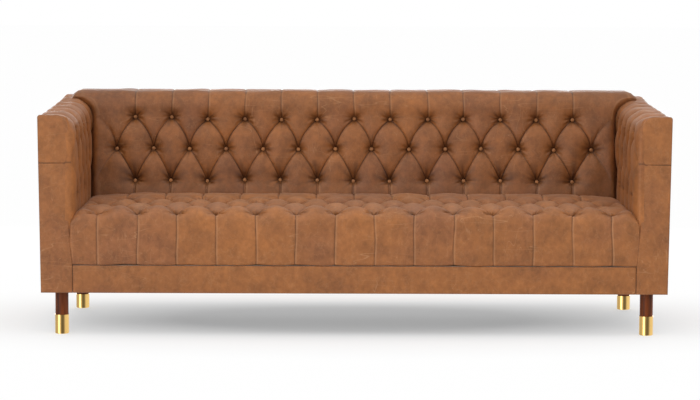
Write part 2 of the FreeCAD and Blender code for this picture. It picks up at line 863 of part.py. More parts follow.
def build():
    os.makedirs("parts", exist_ok=True)

    save("front_rail", cross_rail(post_front_y, front_rail_rear_y))
    save("seat_rear_rail", cross_rail(seat_rail_front_y, seat_rail_rear_y))
    save("rear_rail", cross_rail(frame_rear_y - board_thickness, frame_rear_y))
    save("seat_stretchers", seat_stretchers())
    save_pair("side_rail", side_rail())
    save_pair("front_post", front_post())
    save_pair("rear_post", rear_post())
    save_pair("arm_stay", arm_stay())
    save_pair("arm_top_rail", arm_top_rail())
    save_pair("arm_board", arm_board())
    save_pair("facing_board", facing_board())
    save("back_top_rail", back_top_rail())
    save("back_board", back_board())
    save("back_ribs", back_ribs())
    save("corner_blocks", corner_blocks())
    save("block_screws", block_screws())

    save("seat_springs", seat_springs())
    save("spring_clips", spring_clips())
    save("seat_deck", seat_deck())

    save("seat_pad", seat_pad())
    save("back_pad", back_pad())
    save_pair("arm_pad", arm_pad())
    save("back_buttons", back_buttons())
    save_pair("arm_buttons", arm_buttons())

    save("outside_back_panel", outside_back_panel())
    save_pair("outside_arm_panel", outside_arm_panel())
    save_pair("upper_facing", upper_facing())
    save_pair("lower_facing", lower_facing())
    save("front_rail_cover", front_rail_cover())
    save("front_rail_padding", front_rail_padding())
    save("dust_cover", dust_cover())

    save("leg_plates", leg_plates())
    save("plate_screws", plate_screws())
    save("hanger_bolts", hanger_bolts())
    for name, place in leg_places().items():
        height = front_ferrule_height if place.y < 0 else rear_ferrule_height
        save(name + "_leg", leg(place))
        save(name + "_ferrule", ferrule(place, height))


build()
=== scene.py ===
import bmesh
import bpy
import math
import random
from mathutils import Matrix, Vector, noise


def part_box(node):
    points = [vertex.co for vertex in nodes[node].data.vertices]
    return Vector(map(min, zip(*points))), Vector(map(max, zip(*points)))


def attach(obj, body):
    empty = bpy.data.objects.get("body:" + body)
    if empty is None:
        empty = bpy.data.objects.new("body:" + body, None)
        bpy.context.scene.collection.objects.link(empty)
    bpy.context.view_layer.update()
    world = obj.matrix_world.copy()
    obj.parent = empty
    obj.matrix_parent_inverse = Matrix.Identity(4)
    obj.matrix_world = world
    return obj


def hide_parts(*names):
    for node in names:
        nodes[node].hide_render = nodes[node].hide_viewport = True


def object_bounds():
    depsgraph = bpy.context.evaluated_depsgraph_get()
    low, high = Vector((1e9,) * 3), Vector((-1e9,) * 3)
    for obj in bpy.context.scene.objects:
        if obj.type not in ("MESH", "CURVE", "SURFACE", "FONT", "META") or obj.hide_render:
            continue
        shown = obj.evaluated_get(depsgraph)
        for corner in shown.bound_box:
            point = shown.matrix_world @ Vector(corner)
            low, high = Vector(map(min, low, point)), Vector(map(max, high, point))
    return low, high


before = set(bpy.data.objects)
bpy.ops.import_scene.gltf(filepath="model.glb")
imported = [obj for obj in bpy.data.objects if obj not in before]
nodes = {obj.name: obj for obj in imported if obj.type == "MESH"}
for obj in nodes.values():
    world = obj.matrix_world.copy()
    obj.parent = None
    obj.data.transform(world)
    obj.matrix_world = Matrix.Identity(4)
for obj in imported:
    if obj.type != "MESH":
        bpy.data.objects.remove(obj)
cadLow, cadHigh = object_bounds()
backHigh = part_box("back_pad")[1]
armLow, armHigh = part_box("right_arm_pad")
seatLow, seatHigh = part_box("seat_pad")
print("frame loaded")


def screenColor(*levels):
    # colours are written as they look on screen, and shaders take linear values
    return tuple(((c / 255 + 0.055) / 1.055) ** 2.4 if c > 10 else c / 3295 for c in levels) + (1,)


def clamp(value):
    return max(0.0, min(1.0, value))


def bell(distance, width):
    # 1 at no distance, and nearly nothing two widths away
    return math.exp(-(distance / width) ** 2)


class Spec(dict):
    # a dictionary of named values that can also be read with a dot
    __getattr__ = dict.__getitem__


def finishObject(name, bm, material, smooth=True):
    bmesh.ops.recalc_face_normals(bm, faces=bm.faces[:])
    mesh = bpy.data.meshes.new(name)
    bm.to_mesh(mesh)
    bm.free()
    for face in mesh.polygons:
        face.use_smooth = smooth
    mesh.materials.append(material)
    piece = bpy.data.objects.new(name, mesh)
    bpy.context.scene.collection.objects.link(piece)
    return piece


def standFor(piece, slot, *names):
    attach(piece, "root")
    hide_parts(*names)
    return piece


# Materials
class Nodes:
    def __init__(self, owner):
        self.owner = owner
        owner.use_nodes = True
        self.tree = owner.node_tree
        self.shader = self.tree.nodes.get("Principled BSDF")

    def add(self, kind, **settings):
        node = self.tree.nodes.new("ShaderNode" + kind)
        for key, value in settings.items():
            if hasattr(node, key):
                setattr(node, key, value)
            else:
                node.inputs[key.replace("_", " ")].default_value = value
        return node

    def link(self, source, target):
        self.tree.links.new(source, target)

    def fill(self, node, values):
        # links or sets a node's inputs, by name or by number
        for socket, value in values.items():
            if isinstance(value, bpy.types.NodeSocket):
                self.link(value, node.inputs[socket])
            else:
                node.inputs[socket].default_value = value
        return node

    def place(self, scale=(1, 1, 1)):
        coordinates = self.add("TexCoord")
        mapping = self.fill(self.add("Mapping"), {"Scale": scale, "Vector": coordinates.outputs["Object"]})
        return mapping.outputs["Vector"]

    def noise(self, scale, detail=4.0, stretch=(1, 1, 1), roughness=0.55):
        node = self.add("TexNoise", Scale=scale, Detail=detail, Roughness=roughness)
        return self.fill(node, {"Vector": self.place(stretch)}).outputs["Fac"]

    def ramp(self, source, stops):
        node = self.fill(self.add("ValToRGB"), {"Fac": source})
        elements = node.color_ramp.elements
        while len(elements) < len(stops):
            elements.new(0.5)
        for element, (at, color) in zip(elements, stops):
            element.position = at
            element.color = color if hasattr(color, "__len__") else (color, color, color, 1)
        return node.outputs["Color"]

    def mix(self, first, second, factor, blend="MIX"):
        node = self.add("Mix", data_type="RGBA", blend_type=blend)
        return self.fill(node, {0: factor, 6: first, 7: second}).outputs[2]

    def mixValue(self, first, second, factor):
        return self.fill(self.add("Mix"), {0: factor, 2: first, 3: second}).outputs[0]

    def mixShader(self, first, second, factor):
        return self.fill(self.add("MixShader"), {0: factor, 1: first, 2: second}).outputs["Shader"]

    def math(self, operation, first, second=0.0):
        return self.fill(self.add("Math", operation=operation), {0: first, 1: second}).outputs["Value"]

    def attribute(self, name):
        return self.add("Attribute", attribute_name=name).outputs["Fac"]

    def between(self, source, low, high):
        node = self.add("MapRange")
        return self.fill(node, {"Value": source, "To Min": low, "To Max": high}).outputs["Result"]

    def threads(self, source, level, strength, width):
        # thin lines where a noise passes a level
        away = self.math("ABSOLUTE", self.math("SUBTRACT", source, level))
        return self.ramp(away, [(0.0, strength), (width, 0.0)])

    def bump(self, layers):
        before = None
        for height, strength, distance in layers:
            node = self.fill(self.add("Bump"), {"Height": height, "Strength": strength, "Distance": distance})
            if before:
                self.link(before, node.inputs["Normal"])
            before = node.outputs["Normal"]
        self.link(before, self.shader.inputs["Normal"])


def paint(name):
    return Nodes(bpy.data.materials.new(name))


leatherLook = Spec(
    colors=Spec(warm=(168, 105, 54), middle=(159, 99, 52), cool=(149, 93, 55),
                pulled=(150, 92, 36), paintedShade=(62, 28, 3), scuffAndHighlight=(196, 144, 100)),
    drift=Spec(scale=3.1, patch=0.26, stops=(0.30, 0.50, 0.70)),
    mottle=Spec(scale=13.0, detail=7.0, roughness=0.62, stops=((0.30, 0.76), (0.50, 1.0), (0.70, 1.18))),
    cloud=Spec(scale=46.0, detail=7.0, stretch=(1.1, 1, 0.9), roughness=0.7,
               stops=((0.34, 0.82), (0.66, 1.16))),
    tintShare=0.95,
    scratches=(
        Spec(scale=9.0, stretch=(0.35, 0.35, 2.2), level=0.5, areas=5.6, start=0.50),
        Spec(scale=11.0, stretch=(2.2, 0.5, 0.4), level=0.46, areas=5.8222222, start=0.54),
    ),
    scratch=Spec(detail=1.5, width=0.005, areaDetail=2.0, ease=0.10, strength=0.55),
    veins=Spec(scale=24.0, detail=3.0, stretch=(1, 1, 0.8), level=0.5, strength=0.30,
               width=0.022, areas=9.0, areaDetail=3.0),
    gloss=Spec(scale=34.0, detail=5.0, low=0.42, high=0.62),
    # relief from broad to fine: scale, detail, strength and height in metres
    relief=((12.0, 4.0, 0.45, 0.008), (80.0, 5.0, 0.30, 0.0018)),
    pores=Spec(scale=640.0, strength=0.25, height=0.0003),
    specular=0.38,
    sheenTint=(1.0, 0.86, 0.74, 1),
)


def leather(name, tone, seed, sheen):
    # waxed hide: panels differ a little and scratches are light; pleats, seams and tufts get painted shade,
    # and one side of some seams a painted highlight
    look = leatherLook
    colors = {key: tuple(c * t for c, t in zip(screenColor(*value), tone)) + (1,)
              for key, value in look.colors.items()}
    made = paint(name)

    drift = look.drift
    broad = made.math("MULTIPLY", made.noise(drift.scale + seed), 1 - drift.patch)
    share = made.math("ADD", made.math("MULTIPLY", made.attribute("patch"), drift.patch), broad)
    hide = made.ramp(share, list(zip(drift.stops, (colors["cool"], colors["middle"], colors["warm"]))))

    mottle, cloud = look.mottle, look.cloud
    spots = made.noise(mottle.scale + seed, mottle.detail, roughness=mottle.roughness)
    hide = made.mix(hide, made.ramp(spots, mottle.stops), look.tintShare, "MULTIPLY")
    fine = made.noise(cloud.scale, cloud.detail, cloud.stretch, cloud.roughness)
    hide = made.mix(hide, made.ramp(fine, cloud.stops), look.tintShare, "MULTIPLY")

    line = look.scratch
    for scratch in look.scratches:
        spread = made.noise(scratch.scale + seed, line.detail, scratch.stretch)
        lines = made.threads(spread, scratch.level, 1.0, line.width)
        where = made.ramp(made.noise(scratch.areas, line.areaDetail),
                          [(scratch.start, 0.0), (scratch.start + line.ease, line.strength)])
        hide = made.mix(hide, colors["scuffAndHighlight"], made.math("MULTIPLY", lines, where))

    veins = look.veins
    spread = made.noise(veins.scale, veins.detail, veins.stretch)
    lines = made.threads(spread, veins.level, veins.strength, veins.width)
    where = made.noise(veins.areas, veins.areaDetail)
    hide = made.mix(hide, colors["scuffAndHighlight"], made.math("MULTIPLY", lines, where))

    # painted highlight beside seams, the stretched hide's own tint near tufts, and painted shade in pleats,
    # seams and around tufts
    for color, layer in (("scuffAndHighlight", "seamHighlight"), ("pulled", "pull"), ("paintedShade", "paintedShade")):
        hide = made.mix(hide, colors[color], made.attribute(layer))
    # then painted light and shade by place on the pad
    hide = made.mix(hide, made.math("ADD", made.attribute("gain"), 1.0), 1.0, "MULTIPLY")

    gloss, pores = look.gloss, look.pores
    rough = made.between(made.noise(gloss.scale, gloss.detail), gloss.low, gloss.high)
    made.fill(made.shader, {
        "Base Color": hide, "Roughness": rough, "Specular IOR Level": look.specular,
        "Sheen Weight": sheen, "Sheen Tint": look.sheenTint})
    relief = [(made.noise(scale, detail), *rest) for scale, detail, *rest in look.relief]
    holes = made.fill(made.add("TexVoronoi", Scale=pores.scale), {"Vector": made.place()})
    made.bump(relief + [(holes.outputs["Distance"], pores.strength, pores.height)])
    return made.owner


timberLook = Spec(
    rings=(60.0, 7.0), ringRoughness=0.6, ringStops=(0.35, 0.65),
    streaks=(230.0, 3.0), streakStops=((0.4, 0.72), (0.6, 1.08)), streakShare=0.5,
    roughness=0.5, specular=0.25, relief=(0.15, 0.0006),
)


def timber(name, dark, light, grain):
    look = timberLook
    made = paint(name)
    rings = made.noise(*look.rings, grain, look.ringRoughness)
    streaks = made.noise(*look.streaks, grain)
    color = made.ramp(rings, list(zip(look.ringStops, (screenColor(*dark), screenColor(*light)))))
    color = made.mix(color, made.ramp(streaks, look.streakStops), look.streakShare, "MULTIPLY")
    made.fill(made.shader, {
        "Base Color": color, "Roughness": look.roughness, "Specular IOR Level": look.specular})
    made.bump([(streaks, *look.relief)])
    return made.owner


metalLook = Spec(dull=0.93, stops=(0.35, 0.65), finer=3, fineDetail=5.0)


def metal(name, color, low, high, scale):
    # low and high are the limits of its roughness
    look = metalLook
    made = paint(name)
    color = screenColor(*color)
    dull = tuple(c * look.dull for c in color[:3]) + (1,)
    tint = made.ramp(made.noise(scale), list(zip(look.stops, (dull, color))))
    rough = made.between(made.noise(scale * look.finer, look.fineDetail), low, high)
    made.fill(made.shader, {"Metallic": 1.0, "Base Color": tint, "Roughness": rough})
    return made.owner


clothLook = Spec(distortion=0.6, stops=((0.0, 0.55), (0.7, 1.05)), share=0.6, relief=(0.3, 0.0006))


def cloth(name, color, threads, roughness):
    look = clothLook
    made = paint(name)
    ways = []
    for direction in ("X", "Y"):
        wave = made.add("TexWave", bands_direction=direction, Scale=threads, Distortion=look.distortion)
        ways.append(made.fill(wave, {"Vector": made.place()}).outputs["Fac"])
    weave = made.math("MULTIPLY", *ways)
    shaded = made.mix(screenColor(*color), made.ramp(weave, look.stops), look.share, "MULTIPLY")
    made.fill(made.shader, {"Base Color": shaded, "Roughness": roughness})
    made.bump([(weave, *look.relief)])
    return made.owner


walnut = timber("walnut", (68, 27, 4), (136, 65, 19), (1, 1, 0.07))
brass = metal("polished_brass", (246, 203, 124), low=0.07, high=0.15, scale=20.0)
# one leather throughout; the back's and arms' darker tones are painted shade
seatLeather = leather("seat_hide", tone=(0.94, 0.94, 0.94), seed=0.4, sheen=0.14)
backLeather = leather("back_hide", tone=(0.79, 0.76, 0.70), seed=0.9, sheen=0.04)
armLeather = leather("arm_hide", tone=(0.83, 0.80, 0.74), seed=1.3, sheen=0.06)
panelLeather = leather("panel_hide", tone=(0.93, 0.93, 0.93), seed=0.0, sheen=0.13)
buttonLeather = leather("button_hide", tone=(1.12, 1.26, 1.5), seed=0.2, sheen=0.1)
hideLayers = ("paintedShade", "pull", "seamHighlight", "patch", "gain")
frameTimber = timber("frame_timber", (150, 112, 74), (196, 160, 112), (0.08, 1, 1))
framePly = timber("frame_ply", (176, 140, 96), (214, 184, 138), (0.1, 1, 0.6))
steel = metal("plated_steel", (176, 176, 172), low=0.28, high=0.45, scale=40.0)
wire = metal("spring_steel", (92, 92, 94), low=0.3, high=0.5, scale=60.0)
hessian = cloth("hessian", (176, 148, 108), threads=420.0, roughness=0.9)
dustCloth = cloth("dust_cloth", (34, 34, 35), threads=700.0, roughness=0.95)
wadding = cloth("wadding", (226, 224, 216), threads=120.0, roughness=0.98)
print("materials made")


# Profiles: straight runs joined by arcs, followed by distance from the start
def roundedPath(corners, radii):
    pieces = []
    at = Vector(corners[0])
    for index, radius in enumerate(radii, start=1):
        corner = Vector(corners[index])
        radius = max(radius, 1e-7)
        before = (corner - Vector(corners[index - 1])).normalized()
        after = (Vector(corners[index + 1]) - corner).normalized()
        turn = math.atan2(before.x * after.y - before.y * after.x, before.dot(after))
        reach = radius * math.tan(abs(turn) / 2)
        arcStart = corner - before * reach
        pieces.append(((arcStart - at).length, at, before, 0.0))
        pieces.append((radius * abs(turn), arcStart, before, math.copysign(1 / radius, turn)))
        at = corner + after * reach
    end = Vector(corners[-1])
    pieces.append(((end - at).length, at, (end - at).normalized(), 0.0))
    return pieces


def pathAt(pieces, distance):
    # the place and the outward direction at a distance
    for length, start, heading, bend in pieces:
        if distance <= length:
            break
        distance -= length
    else:
        distance += length
    left = Vector((-heading.y, heading.x))
    if bend == 0.0:
        return start + heading * distance, left
    angle = distance * bend
    point = start + heading * (math.sin(angle) / bend) + left * ((1 - math.cos(angle)) / bend)
    turned = heading * math.cos(angle) + left * math.sin(angle)
    return point, Vector((-turned.y, turned.x))


def pathLength(pieces):
    return sum(piece[0] for piece in pieces)


def distanceWhere(pieces, axis, value):
    # first distance at which the profile's coordinate passes a value
    steps = 2000
    total = pathLength(pieces)
    for step in range(steps):
        if pathAt(pieces, total * step / steps)[0][axis] >= value:
            return total * step / steps
    return total


def along(knots, values, at):
    # straight-line reading between knots
    for index in range(len(knots) - 1):
        if at <= knots[index + 1] or index == len(knots) - 2:
            share = (at - knots[index]) / (knots[index + 1] - knots[index])
            return values[index] + (values[index + 1] - values[index]) * share


# Tufting: h counts half spacings along a pad and r its rows; buttons sit where column + row + parity is even
tufting = Spec(
    far=9.0, wobbleScale=(0.37, 0.61, 1.7), leastFade=0.15, pulled=0.45,
    foldCounts=(7, 8, 9), foldWaves=90, foldSway=0.6, foldBase=0.65,
    unevenScale=(0.9, 1.1), lineScale=(1.3, 1.9), lineBase=0.85, lineDrift=0.5,
    rubAt=0.0042, rubWidth=0.0018, rimShade=0.85, rimWidth=0.004,
    smudgeLow=0.70, smudgeLift=0.55, smudgeStreak=0.28, smudgeTurns=3.6, smudgeShift=(1.7, 2.9),
    fanTurn=2.2, fanLine=0.0012, fanSpread=0.022, fanDepth=0.004, fanShade=0.55,
    frontSeamWidth=0.002, refineButtons=3.5,
)
buttonForm = Spec(around=20, down=12, flat=0.62, lift=0.55, patch=0.6)


def wobble(h, r, seed, amount):
    columns, rows, seeds = tufting.wobbleScale
    return amount * noise.noise(Vector((h * columns + seed, r * rows - seed, seed * seeds)))


def nearestButton(h, r, tuft):
    # its distance and direction, and its column and row
    best = (tufting.far, 0.0, 0, 0)
    last = tuft.rows - 1
    for row in {max(0, min(last, math.floor(r))), max(0, min(last, math.ceil(r)))}:
        shift = (row + tuft.parity) % 2
        low = 2 * math.floor((h - shift) / 2) + shift
        for column in (low, low + 2):
            if tuft.firstColumn <= column <= tuft.lastColumn:
                dh = (h - column) * tuft.halfSpacing
                dr = (r - row) * tuft.rowGap
                distance = math.hypot(dh, dr)
                if distance < best[0]:
                    best = (distance, math.atan2(dr, dh), column, row)
    return best


def pillowAt(h, r, tuft):
    # fullness 0..1, distance to the pleat, the pillow's key, how far beyond the rows, and side of its middle
    last = tuft.rows - 1
    parity = tuft.parity
    if 0 < r < last:
        a, b = (h + r + parity) / 2, (h - r + parity) / 2
        cellA, cellB = math.floor(a), math.floor(b)
        level, centre = cellA - cellB, cellA + cellB + 1 - parity
        if 0 < level < last:
            p, q = a - cellA, b - cellB
            full = (16 * p * (1 - p) * q * (1 - q)) ** tuft.puff
            gap = min(p, 1 - p, q, 1 - q) * tuft.pleatGap
            return full, gap, (level, centre), 0.0, h - centre
        width = r - (last - 1) if level >= last else 1 - r
        outside = 0.0
    else:
        level = last if r >= last else 0
        shift = (level + parity + 1) % 2
        centre = 2 * math.floor((h - shift + 1) / 2) + shift
        width = 1.0
        outside = r - last if r >= last else -r
    across = min(1.0, abs(h - centre) / max(width, 1e-6))
    puff = tuft.puff + (tuft.openPuff - tuft.puff) * min(1.0, outside * 2)
    full = (max(0.0, 1 - across * across) ** puff) * (max(0.0, 1 - (1 - width) ** 2) ** tuft.puff)
    gap = (1 - across) * width * tuft.halfSpacing
    return full, gap, (level, centre), outside, h - centre


def endFan(h, r, tuft):
    # creases that fan from the outermost button towards the pad's end
    column = tuft.lastColumn if h > 0 else tuft.firstColumn
    dh = abs(h - column) * tuft.halfSpacing
    dr = (r - tuft.fanRow) * tuft.rowGap
    distance, angle = math.hypot(dh, dr), math.atan2(dr, dh)
    if distance <= tuft.buttonRadius:
        return 0.0
    strength = 0.0
    for lean in tuft.fan:
        off = distance * math.sin(angle - lean - tufting.fanTurn * distance * lean)
        strength = max(strength, bell(off, tufting.fanLine + tufting.fanSpread * distance))
    return strength * math.exp(-distance / tuft.fanReach)


def tuftShadeAt(distance, angle, column, row, streak, tuft):
    # painted shade: a dark ragged patch around a tuft, larger above it
    turns = tufting.smudgeTurns
    byColumn, byRow = tufting.smudgeShift
    spot = (turns * math.cos(angle), turns * math.sin(angle), column * byColumn + row * byRow)
    uneven = noise.noise(Vector(spot))
    lift = 0.5 + 0.5 * math.sin(angle)
    reach = tuft.smudgeReach * (tufting.smudgeLow + tufting.smudgeLift * lift)
    reach *= (1 + tuft.ragged * uneven) * tuft.rowSmudge[row]
    rayed = tufting.smudgeStreak
    return tuft.smudge * bell(distance, reach) * (1 - rayed + rayed * streak)


def tuftField(h, r, tuft):
    # how deep the surface lies, its painted shade, how pulled it is, its painted seam highlight, and its
    # pillow's key
    full, gap, key, outside, offset = pillowAt(h, r, tuft)
    distance, angle, column, row = nearestButton(h, r, tuft)
    beyond = max(0.0, h - tuft.lastColumn, tuft.firstColumn - h)
    fade = max(tufting.leastFade, 1 - beyond * tuft.endFade)
    openDepth = tuft.upperSeam if r > tuft.rows - 1 else tuft.lowerSeam
    ease = math.exp(-outside / tuft.seamEase)
    pleatDepth = tuft.pleatDepth * ease + openDepth * (1 - ease)
    pullIn = math.exp(-max(0.0, distance - tuft.buttonRadius) / tuft.pullReach)

    turn = random.Random(column * 31 + row * 7 + tuft.seed)
    folds, phase, sway = turn.choice(tufting.foldCounts), turn.uniform(0, 6.28), turn.uniform(0, 6.28)
    bent = tufting.foldSway * math.sin(distance * tufting.foldWaves + sway)
    streak = math.cos(folds * angle + phase + bent)
    ring = bell(distance - tuft.foldAt, tuft.foldWidth)
    uneven = Vector((h * tufting.unevenScale[0], r * tufting.unevenScale[1], tuft.seed))
    fan = endFan(h, r, tuft) if tuft.fan and beyond > 0 else 0.0
    base = tufting.foldBase
    depth = pleatDepth * (1 - full) * fade
    depth += (tuft.buttonDepth - pleatDepth) * pullIn
    depth -= tuft.foldDepth * ring * streak * (base + (1 - base) * math.cos(angle + sway))
    depth += tuft.unevenness * noise.noise(uneven)
    depth += tufting.fanDepth * fan

    # painted shade along the pleat lines and, past the rows, along the seams
    line = bell(gap, tuft.creaseWidth)
    seamHighlight = 0.0
    if outside > 0:
        off = gap - (tuft.twinSeam if r < 0 else 0.0)
        line = bell(off, tuft.creaseWidth) * tuft.seamShade
        # painted highlight: a light line on one side of the seam
        if offset < 0:
            seamHighlight = bell(off - tufting.rubAt, tufting.rubWidth) * tuft.seamRub
    faint = Vector((h * tufting.lineScale[0], r * tufting.lineScale[1], tuft.seed * 2.0))
    line *= tufting.lineBase + tufting.lineDrift * noise.noise(faint)
    # painted shade: a dark ring round each button, a patch round each tuft and the fanned creases
    rim = tufting.rimShade * bell(distance - tuft.buttonRadius, tufting.rimWidth)
    shade = max(line * fade * tuft.pleatShade, rim)
    smudge = tuftShadeAt(distance, angle, column, row, streak, tuft)
    shade = 1 - (1 - shade) * (1 - smudge) * (1 - tufting.fanShade * fan)
    # painted shade along the seam where the arm's roll meets the facing
    if h < 0 and tuft.frontSeam:
        shade = max(shade, tuft.frontSeam * bell((r - 1) * tuft.rowGap, tufting.frontSeamWidth))
    return depth, min(1.0, shade), tufting.pulled * pullIn, seamHighlight, key


def bowedShift(h, r, tuft):
    # pleats leave the upper buttons level and then steepen, so that the diamonds are leaf-shaped
    last = tuft.rows - 1
    if not 0 < r < last:
        return 0.0
    band = min(last - 1, math.floor(r))
    s = band + 1 - r
    shift = (band + 1 + tuft.parity) % 2
    centre = 2 * math.floor((h - shift + 1) / 2) + shift
    off = h - centre
    if abs(off) <= s:
        side = off / max(s, 1e-6)
    else:
        side = math.copysign(1 - 2 * (abs(off) - s) / max(2 - 2 * s, 1e-6), off)
    return tuft.bows[band] * s * (1 - s) * side


def refineNearPleats(bm, tuft):
    reach = tuft.refineReach
    edges = set()
    for face in bm.faces:
        middle = face.calc_center_median()
        if not -tuft.refineBelow < middle.y < tuft.rows - 1 + tuft.refineAbove:
            continue
        gap = pillowAt(middle.x, middle.y, tuft)[1]
        if gap < reach or nearestButton(middle.x, middle.y, tuft)[0] < tufting.refineButtons * reach:
            edges.update(face.edges)
    bmesh.ops.subdivide_edges(bm, edges=list(edges), cuts=1, use_grid_fill=True)


def tuftedPad(name, tuft, place, closeWith, material):
    # a lattice of half columns and bands, split along the pleats and then shaped by the field
    hKnots, rKnots = tuft.hKnots, tuft.rKnots
    bm = bmesh.new()
    bmesh.ops.create_grid(bm, x_segments=len(hKnots) - 1, y_segments=len(rKnots) - 1, size=0.5)
    for vertex in bm.verts:
        column = round((vertex.co.x + 0.5) * (len(hKnots) - 1))
        band = round((vertex.co.y + 0.5) * (len(rKnots) - 1))
        vertex.co = (hKnots[column], rKnots[band], 0)
    for face in bm.faces[:]:
        if 0 < face.calc_center_median().y < tuft.rows - 1:
            pair = [v for v in face.verts if abs(v.co.x - round(v.co.x)) < 1e-6
                    and (round(v.co.x) + round(v.co.y) + tuft.parity) % 2 == 0]
            if len(pair) == 2:
                bmesh.utils.face_split(face, pair[0], pair[1])
    bmesh.ops.subdivide_edges(bm, edges=bm.edges[:], cuts=tuft.cuts, use_grid_fill=True)
    refineNearPleats(bm, tuft)
    layers = [bm.verts.layers.float.new(key) for key in hideLayers]
    for vertex in bm.verts:
        h, r = vertex.co.x, vertex.co.y
        # the field also gives painted shade and a painted seam highlight, and the spec gives painted light
        # and shade by place
        depth, paintedShade, pull, seamHighlight, key = tuftField(h, r, tuft)
        patch = random.Random(key[0] * 17 + key[1] * 5 + tuft.seed).random()
        for layer, mark in zip(layers, (paintedShade, pull, seamHighlight, patch, tuft.gain(h, r))):
            vertex[layer] = mark
        vertex.co = place(h + bowedShift(h, r, tuft), r, depth)
    closeWith(bm)
    return finishObject(name, bm, material)


def tuftButtons(name, tuft, place, material):
    # covered buttons, domed, one at each meeting of the pleats
    radius = tuft.buttonRadius
    flat = Matrix.Diagonal((1, 1, buttonForm.flat, 1))
    bm = bmesh.new()
    for row in range(tuft.rows):
        for column in range(tuft.firstColumn, tuft.lastColumn + 1):
            if (column + row + tuft.parity) % 2 or not tuft.shown(column, row):
                continue
            sunk = place(column, row, tuft.buttonDepth)
            outward = (place(column, row, 0.0) - sunk).normalized()
            made = bmesh.ops.create_uvsphere(bm, u_segments=buttonForm.around, v_segments=buttonForm.down,
                                             radius=radius)
            turn = outward.to_track_quat("Z", "Y").to_matrix().to_4x4()
            lift = Matrix.Translation(sunk + outward * radius * buttonForm.lift)
            bmesh.ops.transform(bm, matrix=lift @ turn @ flat, verts=made["verts"])
    for key in hideLayers:
        layer = bm.verts.layers.float.new(key)
        for vertex in bm.verts:
            vertex[layer] = buttonForm.patch if key == "patch" else 0.0
    return finishObject(name, bm, material)


def roundOff(distance, radius):
    # how far a surface falls away near an edge, as a quarter round
    if distance >= radius:
        return 0.0
    return radius - math.sqrt(max(0.0, radius ** 2 - (radius - distance) ** 2))


def openEdges(bm, inside):
    # edges of the open rim whose ends both pass a test of place
    return [edge for edge in bm.edges if edge.is_boundary and all(inside(vertex.co) for vertex in edge.verts)]


def extrudeChain(bm, chain, move):
    made = bmesh.ops.extrude_edge_only(bm, edges=chain)["geom"]
    for vertex in (item for item in made if isinstance(item, bmesh.types.BMVert)):
        vertex.co = move(vertex.co)
    return [item for item in made if isinstance(item, bmesh.types.BMEdge)
            and all(end in made for end in item.verts) and item.is_boundary]


def closeBetween(bm, first, second):
    bmesh.ops.bridge_loops(bm, edges=first + second)
    bmesh.ops.holes_fill(bm, edges=[edge for edge in bm.edges if edge.is_boundary])


def spreadRows(spec, path, axis, below, above):
    # rows and bands from the profile's start to its end, as distances along it
    tufts = [distanceWhere(path, axis, place) for place in spec.rowPlaces]
    rest = pathLength(path) - tufts[-1]
    spec["rKnots"] = list(range(-below, len(tufts) + above))
    spec["distances"] = ([tufts[0] * index / below for index in range(below)] + tufts
                         + [tufts[-1] + rest * index / above for index in range(1, above + 1)])


def spreadColumns(spec, reach):
    # half columns across a pad that ends at the same distance on both sides
    last = spec.lastColumn
    end = reach / spec.halfSpacing
    spec["hKnots"] = [-end] + list(range(-last, last + 1)) + [end]


def reachEnd(x, spec, reach, end):
    # beyond the outermost columns, x is stretched to where the pad ends at this height
    flat = spec.lastColumn * spec.halfSpacing
    if abs(x) <= flat:
        return x
    return math.copysign(flat + min(1.0, (abs(x) - flat) / (reach - flat)) * (end - flat), x)


# The back and the arms are tufted alike
uprightTufts = Spec(
    rows=3, rowPlaces=(0.509, 0.630, 0.744), rowGap=0.118, pleatGap=0.120, bows=(0.30, 0.80),
    buttonRadius=0.0076, pullReach=0.019, puff=0.44, endFade=0.8, foldAt=0.021, foldWidth=0.012,
    unevenness=0.003, creaseWidth=0.0019, pleatShade=0.82, twinSeam=0.0036, ragged=0.9,
    cuts=11, refineReach=0.012, refineBelow=0.8, rearRadius=0.020,
)


# Inside back
back = Spec(
    uprightTufts,
    parity=0, firstColumn=-13, lastColumn=13, halfSpacing=0.07015, seed=3,
    faceY=0.170, faceZ=0.440, rake=math.tan(math.radians(10.6)), foot=0.30,
    crownRadius=0.074, rearDrop=0.004, rearFoot=0.7905, liner=0.0775,
    rimLow=0.32, rimRear=0.80, splitY=0.35,
    buttonDepth=0.036, pleatDepth=0.013, foldDepth=0.0030, openPuff=0.26, upperSeam=0.0036,
    lowerSeam=0.008, seamEase=0.45, seamShade=0.75, seamRub=0.60, frontSeam=0.0,
    smudge=0.90, smudgeReach=0.027, rowSmudge=(1.32, 1.0, 0.95), refineAbove=1.6,
    # painted shade: darker low on the back, at its crown and towards its ends
    gain=lambda h, r: -0.16 * clamp(0.8 - r) - 0.06 * clamp(r - 2) - 0.12 * clamp((abs(h) - 8) / 6),
    fanRow=1, fan=(-1.0, -0.45, -0.08, 0.42, 0.95), fanReach=0.055,
    armGap=0.0005, armLap=0.002, crownEnd=1.094, crownTurn=0.1, crownRise=0.02,
    endRadius=0.022, crownEndRadius=0.042,
    leftLift=0.009, leftFrom=7, leftRun=5, liftRows=(1, 4),
    rowWobble=(5.0, 0.005), columnWobble=(9.0, 0.006),
    shown=lambda column, row: True,
)
armCrown = Spec(width=0.071, foot=0.744, front=0.800, rear=0.823,
                lift=0.006, liftFrom=0.20, liftEnd=0.06)


def backFaceY(z):
    # the face leans to the rear
    return back.faceY + (z - back.faceZ) * back.rake


backPath = roundedPath(
    [(backFaceY(back.foot), back.foot), (backFaceY(backHigh.z), backHigh.z),
     (backHigh.y, backHigh.z - back.rearDrop), (backHigh.y, back.rearFoot)],
    [back.crownRadius, back.rearRadius])
spreadRows(back, backPath, axis=1, below=3, above=5)
spreadColumns(back, armLow.x - back.armGap)


